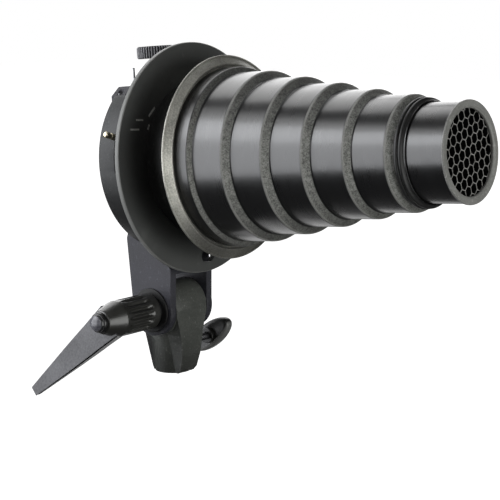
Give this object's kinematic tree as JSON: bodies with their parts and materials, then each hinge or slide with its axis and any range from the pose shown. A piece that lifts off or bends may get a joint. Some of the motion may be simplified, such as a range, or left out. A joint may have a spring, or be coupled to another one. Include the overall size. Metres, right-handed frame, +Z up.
{
  "type": "snoot",
  "caption": "Stepped conical light snoot with honeycomb grid on a bayonet-ring flash bracket with tilting stand socket, lever lock and clamp jaws.",
  "frame": {"origin": "centre of the stand socket's mouth", "axes": "+Z up the socket; the snoot points to -Y, tipped up 5.14 degrees; +X is the wing screw's side and -X the tilt lever's side"},
  "size_m": [0.17, 0.3457, 0.269],
  "materials": {
    "moulded_grey": "fine-grained moulded nylon, dark blue-grey",
    "moulded_dark": "fine-grained moulded nylon, near black",
    "disc_paint": "satin black powder coat",
    "snoot_paint": "satin black enamel, grained on the steps",
    "rim_grey": "worn grey edge",
    "collar_black": "gloss black",
    "knob_black": "gloss black",
    "knob_grey": "ribbed grey",
    "steel": "turned",
    "blackened_steel": "blackened",
    "brass": "turned, lightly tarnished",
    "rubber": "ribbed",
    "comb": "dark anodised foil",
    "mark_paint": "pad-printed grey"
  },
  "bodies": {
    "receiver": {"receiver_body": "moulded_dark", "friction_washer_left": "rubber", "friction_washer_right": "rubber", "socket_insert": "brass"},
    "spigot_pad": {"pressure_pad": "brass"},
    "wing_knob": {"wing_screw": "blackened_steel", "wing_grip": "knob_black"},
    "head": {"yoke": "moulded_grey", "yoke_screws": "blackened_steel", "front_disc": "disc_paint", "bayonet_ring": "collar_black", "ring_screws": "blackened_steel", "index_marks": "mark_paint", "drum": "moulded_grey", "drum_screws": "blackened_steel", "slide_keeper": "steel", "lower_jaw": "blackened_steel", "lower_pad": "rubber", "clamp_bridge": "moulded_grey", "bridge_screws": "blackened_steel", "bridge_insert": "brass", "ear_ring": "moulded_grey", "thrust_washer": "blackened_steel", "tilt_nut": "steel"},
    "jaw": {"upper_jaw": "blackened_steel", "upper_pad": "rubber", "guide_pins": "steel", "jaw_swivel": "steel"},
    "clamp_knob_body": {"clamp_screw": "steel", "clamp_knob": "knob_grey"},
    "release": {"release_slide": "moulded_grey", "release_pin": "brass"},
    "tilt_clamp": {"tilt_bolt": "steel", "lever_bush": "steel", "lever_screw": "steel", "lever_spring": "steel"},
    "tilt_lever": {"lever_handle": "knob_black", "lever_cap": "knob_grey"},
    "snoot": {"snoot_neck": "snoot_paint", "snoot_flange": "snoot_paint", "neck_rivets": "steel", "snoot_shell": "snoot_paint", "front_collar": "collar_black", "front_tube": "snoot_paint"},
    "grid": {"grid_ring": "rim_grey", "honeycomb": "comb"}
  },
  "joints": [
    {"name": "tilt", "type": "hinge", "parent": "receiver", "child": "head", "pos_m": [0, 0, 0.0499], "axis": [1, 0, 0], "range_deg": [-85, 85]},
    {"name": "wing_turn", "type": "hinge", "parent": "spigot_pad", "child": "wing_knob", "pos_m": [0.03, 0, 0.019], "axis": [1, 0, 0], "range_deg": [-463.8, 183]},
    {"name": "pad_slide", "type": "slide", "parent": "receiver", "child": "spigot_pad", "axis": [-1, 0, 0], "range_m": [-0.00063, 0.0016]},
    {"name": "tilt_lever_turn", "type": "hinge", "parent": "head", "child": "tilt_clamp", "pos_m": [0, 0, 0.0499], "axis": [1, 0, 0], "range_deg": [-75, 60]},
    {"name": "lever_lift", "type": "slide", "parent": "tilt_clamp", "child": "tilt_lever", "axis": [-1, 0, 0], "range_m": [0, 0.004], "stiffness_N_per_m": 400, "springref_m": -0.006, "deforming": ["lever_spring"]},
    {"name": "clamp_knob_turn", "type": "hinge", "parent": "jaw", "child": "clamp_knob_body", "pos_m": [0, 0.00821, 0.16131], "axis": [0, 0.0896, 0.996], "range_deg": [-2163, 1083]},
    {"name": "jaw_slide", "type": "slide", "parent": "head", "child": "jaw", "axis": [0, 0.0896, 0.996], "range_m": [-0.012, 0.006]},
    {"name": "release_turn", "type": "hinge", "parent": "head", "child": "release", "pos_m": [0, -0.02664, 0.16445], "axis": [0, -0.996, 0.0896], "range_deg": [0, 18], "stiffness_Nm_per_rad": 0.35, "springref_deg": -14.32},
    {"name": "snoot_turn", "type": "hinge", "parent": "head", "child": "snoot", "pos_m": [0, -0.02664, 0.16445], "axis": [0, -0.996, 0.0896], "range_deg": [0, 24]},
    {"name": "grid_slide", "type": "slide", "parent": "snoot", "child": "grid", "axis": [0, -0.996, 0.0896], "range_m": [0, 0.017]}
  ],
  "couplings": [
    {"joint": "clamp_knob_turn", "follows": "jaw_slide", "rad_per_m": 3141.6},
    {"joint": "wing_turn", "follows": "pad_slide", "rad_per_m": -5026.5}
  ]
}
